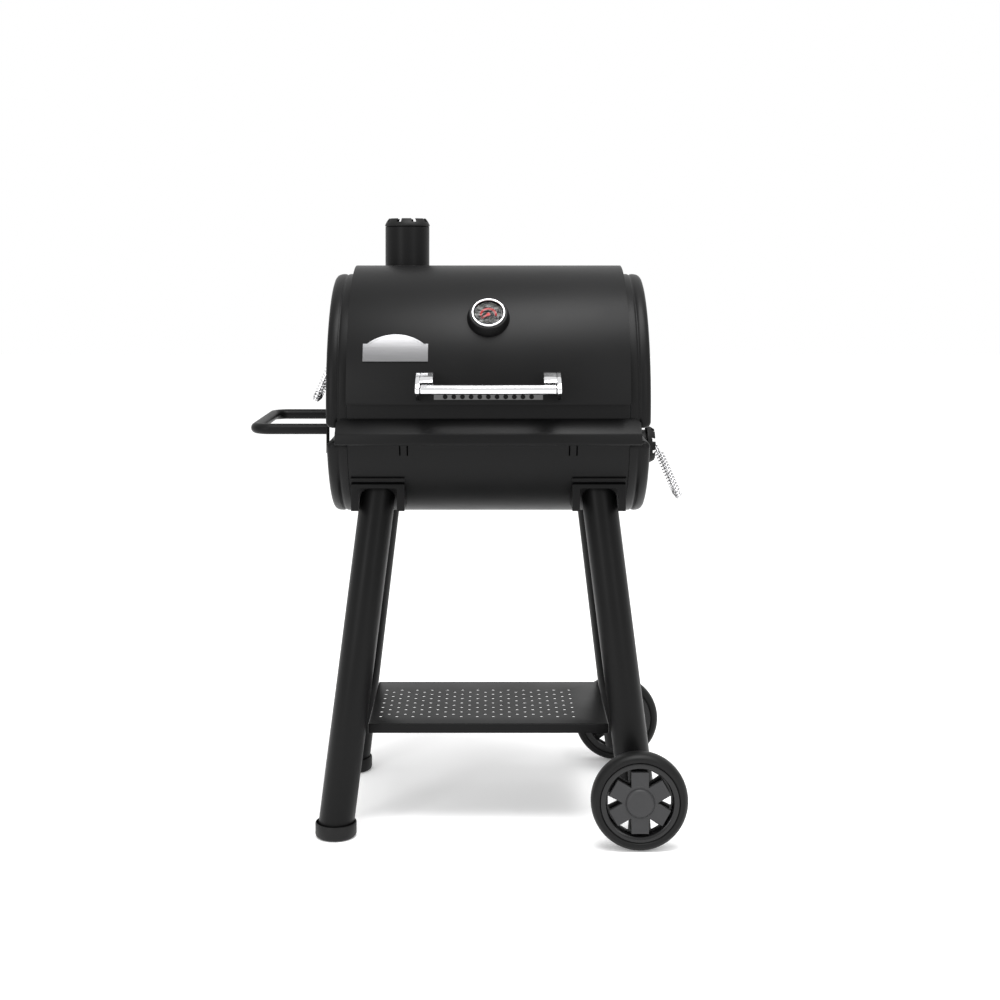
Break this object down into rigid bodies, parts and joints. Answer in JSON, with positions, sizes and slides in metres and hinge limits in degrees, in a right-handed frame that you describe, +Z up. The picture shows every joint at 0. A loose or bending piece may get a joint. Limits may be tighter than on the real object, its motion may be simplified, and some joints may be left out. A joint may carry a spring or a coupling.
{
  "type": "barrel charcoal grill",
  "caption": "Barrel charcoal grill on splayed tube legs with wheels: hinged lid, chimney, thermometer, side dampers, lift-out grids and a low shelf.",
  "frame": {"origin": "on the ground under the middle of the whole grill's box", "axes": "+X to the wheels' side, the lid's handle faces -Y, +Z up"},
  "size_m": [0.8378, 0.5964, 1.161],
  "materials": {
    "coated_steel": "satin black powder coat",
    "cast_iron": "matte black",
    "chromed_steel": "polished",
    "brushed_steel": "brushed",
    "tyre_rubber": "matte black",
    "hub_nylon": "dark grey",
    "foot_plastic": "black",
    "dial_black": "matte black",
    "needle_red": "red",
    "clear_glass": "clear"
  },
  "bodies": {
    "cart": {"body_shell": "coated_steel", "body_end_left": "coated_steel", "body_end_right": "coated_steel", "front_ledge": "coated_steel", "leg_front_left": "coated_steel", "leg_front_right": "coated_steel", "leg_rear_left": "coated_steel", "leg_rear_right": "coated_steel", "leg_bracket_front_left": "coated_steel", "leg_bracket_front_right": "coated_steel", "leg_bracket_rear_left": "coated_steel", "leg_bracket_rear_right": "coated_steel", "foot_front_left": "foot_plastic", "foot_rear_left": "foot_plastic", "bottom_shelf": "coated_steel", "axle": "brushed_steel", "side_handle": "coated_steel", "body_hinge_left": "coated_steel", "body_hinge_right": "coated_steel", "hinge_pin_left": "brushed_steel", "hinge_pin_right": "brushed_steel", "door_hinge_leaf": "coated_steel", "door_hinge_pin": "brushed_steel"},
    "lid": {"lid_outer_shell": "coated_steel", "lid_inner_shell": "coated_steel", "lid_end_left": "coated_steel", "lid_end_right": "coated_steel", "lid_hinge_left": "coated_steel", "lid_hinge_right": "coated_steel", "lid_handle": "chromed_steel", "handle_post_left": "chromed_steel", "handle_post_right": "chromed_steel", "handle_heat_shield": "brushed_steel", "thermometer_housing": "coated_steel", "thermometer_bezel": "chromed_steel", "thermometer_dial": "dial_black", "thermometer_lens": "clear_glass", "thermometer_stem": "brushed_steel", "name_plate": "brushed_steel", "chimney_pipe": "coated_steel", "chimney_flange": "coated_steel", "warming_rack": "chromed_steel"},
    "needle": {"thermometer_needle": "needle_red"},
    "crown": {"chimney_crown": "cast_iron"},
    "left_damper": {"lid_damper": "cast_iron"},
    "left_damper_handle": {"lid_damper_handle": "chromed_steel"},
    "door": {"side_door": "coated_steel"},
    "right_damper": {"door_damper": "cast_iron"},
    "right_damper_handle": {"door_handle": "chromed_steel"},
    "wheel_f": {"tyre_front": "tyre_rubber", "wheel_hub_front": "hub_nylon", "hub_cap_front": "hub_nylon"},
    "wheel_r": {"tyre_rear": "tyre_rubber", "wheel_hub_rear": "hub_nylon", "hub_cap_rear": "hub_nylon"},
    "grid_left": {"cooking_grid_left": "cast_iron"},
    "grid_right": {"cooking_grid_right": "cast_iron"},
    "grate": {"charcoal_grate": "cast_iron"},
    "pan": {"ash_pan": "brushed_steel"}
  },
  "joints": [
    {"name": "lid_hinge", "type": "hinge", "parent": "cart", "child": "lid", "pos_m": [0.0359, 0.2541, 0.7625], "axis": [-1, 0, 0], "range_deg": [0, 95]},
    {"name": "needle_turn", "type": "hinge", "parent": "lid", "child": "needle", "pos_m": [0.0359, -0.18929, 0.96712], "axis": [0, 0.7934, -0.6088], "range_deg": [0, 250]},
    {"name": "chimney_cap_turn", "type": "hinge", "parent": "lid", "child": "crown", "pos_m": [-0.1301, 0.0996, 1.153], "axis": [0, 0, 1], "range_deg": [0, 45]},
    {"name": "left_damper_turn", "type": "hinge", "parent": "lid", "child": "left_damper", "pos_m": [-0.2511, 0.0096, 0.9005], "axis": [-1, 0, 0], "range_deg": [0, 45]},
    {"name": "left_damper_handle_swing", "type": "hinge", "parent": "left_damper", "child": "left_damper_handle", "pos_m": [-0.2617, 0.0096, 0.9005], "axis": [0, 1, 0], "range_deg": [0, 100]},
    {"name": "side_door_hinge", "type": "hinge", "parent": "cart", "child": "door", "pos_m": [0.3211, 0.1036, 0.683], "axis": [0, 0, 1], "range_deg": [0, 100]},
    {"name": "right_damper_turn", "type": "hinge", "parent": "door", "child": "right_damper", "pos_m": [0.3578, 0.0096, 0.709], "axis": [1, 0, 0], "range_deg": [0, 45]},
    {"name": "right_damper_handle_swing", "type": "hinge", "parent": "right_damper", "child": "right_damper_handle", "pos_m": [0.3688, 0.0096, 0.709], "axis": [0, -1, 0], "range_deg": [0, 100]},
    {"name": "front_wheel_spin", "type": "hinge", "parent": "cart", "child": "wheel_f", "pos_m": [0.3115, -0.2508, 0.089], "axis": [0, 1, 0], "continuous": true},
    {"name": "rear_wheel_spin", "type": "hinge", "parent": "cart", "child": "wheel_r", "pos_m": [0.3115, 0.27, 0.089], "axis": [0, 1, 0], "continuous": true},
    {"name": "left_grid_lift", "type": "slide", "parent": "cart", "child": "grid_left", "axis": [0, 0, 1], "range_m": [0, 0.1]},
    {"name": "right_grid_lift", "type": "slide", "parent": "cart", "child": "grid_right", "axis": [0, 0, 1], "range_m": [0, 0.1]},
    {"name": "grate_lift", "type": "slide", "parent": "cart", "child": "grate", "axis": [0, 0, 1], "range_m": [0, 0.07]},
    {"name": "pan_lift", "type": "slide", "parent": "cart", "child": "pan", "axis": [0, 0, 1], "range_m": [0, 0.015]}
  ]
}
